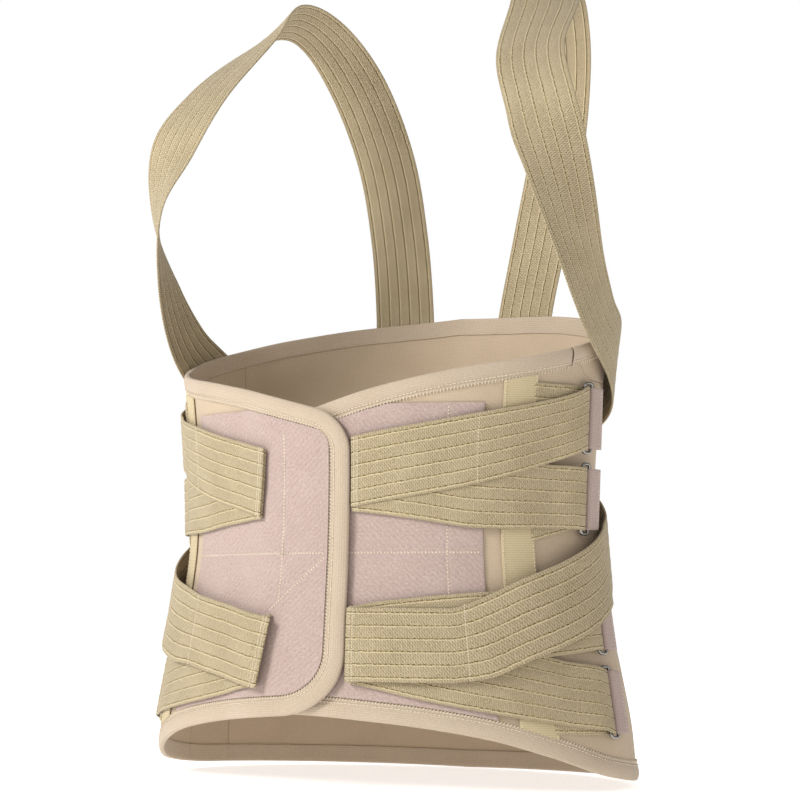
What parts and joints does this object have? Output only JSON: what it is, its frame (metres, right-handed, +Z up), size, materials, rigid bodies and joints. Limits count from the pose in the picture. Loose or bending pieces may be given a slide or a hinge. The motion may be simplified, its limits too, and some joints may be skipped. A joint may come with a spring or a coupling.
{
  "type": "lumbar support belt",
  "caption": "Tall fabric back brace with shoulder straps, elastic side straps through wire rings and a hook-and-loop front; front panels, strap pairs and strap ends swing open.",
  "frame": {"origin": "middle of the wearer's waist, on the torso's axis at the belt's narrowest level", "axes": "+Z up along the torso, -Y is the wearer's front, +X is the wearer's left"},
  "size_m": [0.4142, 0.2857, 0.6478],
  "materials": {
    "body_fabric": "smooth warp-knit body cloth, matt",
    "binding_tape": "folded knit binding, cover-stitched",
    "loop_fabric": "brushed loop pile",
    "woven_tape": "ribbed woven tape",
    "elastic_webbing": "ribbed woven elastic with lengthwise cords",
    "hook_fabric": "moulded hook tape",
    "keeper_tape": "soft woven tape",
    "ring_wire": "nickel-plated bent wire",
    "spring_steel": "coated spring steel strip"
  },
  "bodies": {
    "back": {"back_hem_binding": "binding_tape", "back_panel": "body_fabric", "back_top_binding": "binding_tape", "left_back_stay_1": "spring_steel", "left_back_stay_2": "spring_steel", "left_shoulder_strap": "elastic_webbing", "left_stay_casing": "woven_tape", "right_back_stay_1": "spring_steel", "right_back_stay_2": "spring_steel", "right_shoulder_strap": "elastic_webbing", "right_stay_casing": "woven_tape"},
    "right_front": {"closure_hook_patch": "hook_fabric", "right_anchor_tape": "woven_tape", "right_front_binding": "binding_tape", "right_front_panel": "body_fabric", "right_loop_pad": "loop_fabric", "right_lower_keeper": "keeper_tape", "right_strap_1_anchor_run": "elastic_webbing", "right_strap_2_anchor_run": "elastic_webbing", "right_strap_3_anchor_run": "elastic_webbing", "right_strap_4_anchor_run": "elastic_webbing", "right_upper_keeper": "keeper_tape"},
    "left_front": {"left_anchor_tape": "woven_tape", "left_front_binding": "binding_tape", "left_front_panel": "body_fabric", "left_loop_pad": "loop_fabric", "left_lower_keeper": "keeper_tape", "left_strap_1_anchor_run": "elastic_webbing", "left_strap_2_anchor_run": "elastic_webbing", "left_strap_3_anchor_run": "elastic_webbing", "left_strap_4_anchor_run": "elastic_webbing", "left_upper_keeper": "keeper_tape"},
    "right_upper_straps": {"right_strap_1": "elastic_webbing", "right_strap_1_ring": "ring_wire", "right_strap_2": "elastic_webbing", "right_strap_2_ring": "ring_wire", "right_upper_hook_patch": "hook_fabric"},
    "right_lower_straps": {"right_lower_hook_patch": "hook_fabric", "right_strap_3": "elastic_webbing", "right_strap_3_ring": "ring_wire", "right_strap_4": "elastic_webbing", "right_strap_4_ring": "ring_wire"},
    "right_waist_strap": {"right_waist_hook_patch": "hook_fabric", "right_waist_strap": "elastic_webbing"},
    "left_upper_straps": {"left_strap_1": "elastic_webbing", "left_strap_1_ring": "ring_wire", "left_strap_2": "elastic_webbing", "left_strap_2_ring": "ring_wire", "left_upper_hook_patch": "hook_fabric"},
    "left_lower_straps": {"left_lower_hook_patch": "hook_fabric", "left_strap_3": "elastic_webbing", "left_strap_3_ring": "ring_wire", "left_strap_4": "elastic_webbing", "left_strap_4_ring": "ring_wire"},
    "left_waist_strap": {"left_waist_hook_patch": "hook_fabric", "left_waist_strap": "elastic_webbing"}
  },
  "joints": [
    {"name": "right_front_open", "type": "hinge", "parent": "back", "child": "right_front", "pos_m": [-0.19475, 0.00911, -0.0795], "axis": [-0.0797, 0.0053, -0.9968], "range_deg": [0, 100]},
    {"name": "left_front_open", "type": "hinge", "parent": "back", "child": "left_front", "pos_m": [0.19475, 0.00911, -0.0795], "axis": [-0.0797, -0.0053, 0.9968], "range_deg": [0, 65]},
    {"name": "right_upper_straps_open", "type": "hinge", "parent": "right_front", "child": "right_upper_straps", "pos_m": [-0.18088, -0.01157, 0.01], "axis": [0.0457, 0.0021, -0.999], "range_deg": [0, 100]},
    {"name": "right_waist_strap_open", "type": "hinge", "parent": "right_front", "child": "right_waist_strap", "pos_m": [-0.18758, 0.00753, -0.07], "axis": [-0.1131, 0.0114, -0.9935], "range_deg": [0, 110]},
    {"name": "right_lower_straps_open", "type": "hinge", "parent": "right_front", "child": "right_lower_straps", "pos_m": [-0.19432, -0.01205, -0.141], "axis": [-0.1803, -0.0766, -0.9806], "range_deg": [0, 99]},
    {"name": "left_upper_straps_open", "type": "hinge", "parent": "left_front", "child": "left_upper_straps", "pos_m": [0.18088, -0.01157, 0.01], "axis": [0.0457, -0.0021, 0.999], "range_deg": [0, 100]},
    {"name": "left_waist_strap_open", "type": "hinge", "parent": "left_front", "child": "left_waist_strap", "pos_m": [0.18758, 0.00753, -0.07], "axis": [-0.1131, -0.0114, 0.9935], "range_deg": [0, 110]},
    {"name": "left_lower_straps_open", "type": "hinge", "parent": "left_front", "child": "left_lower_straps", "pos_m": [0.19432, -0.01205, -0.141], "axis": [-0.1803, 0.0766, 0.9806], "range_deg": [0, 99]}
  ],
  "couplings": [
    {"joint": "left_front_open", "follows": "right_front_open", "ratio": 0.65},
    {"joint": "right_lower_straps_open", "follows": "right_waist_strap_open", "ratio": 0.9},
    {"joint": "left_lower_straps_open", "follows": "left_waist_strap_open", "ratio": 0.9}
  ]
}
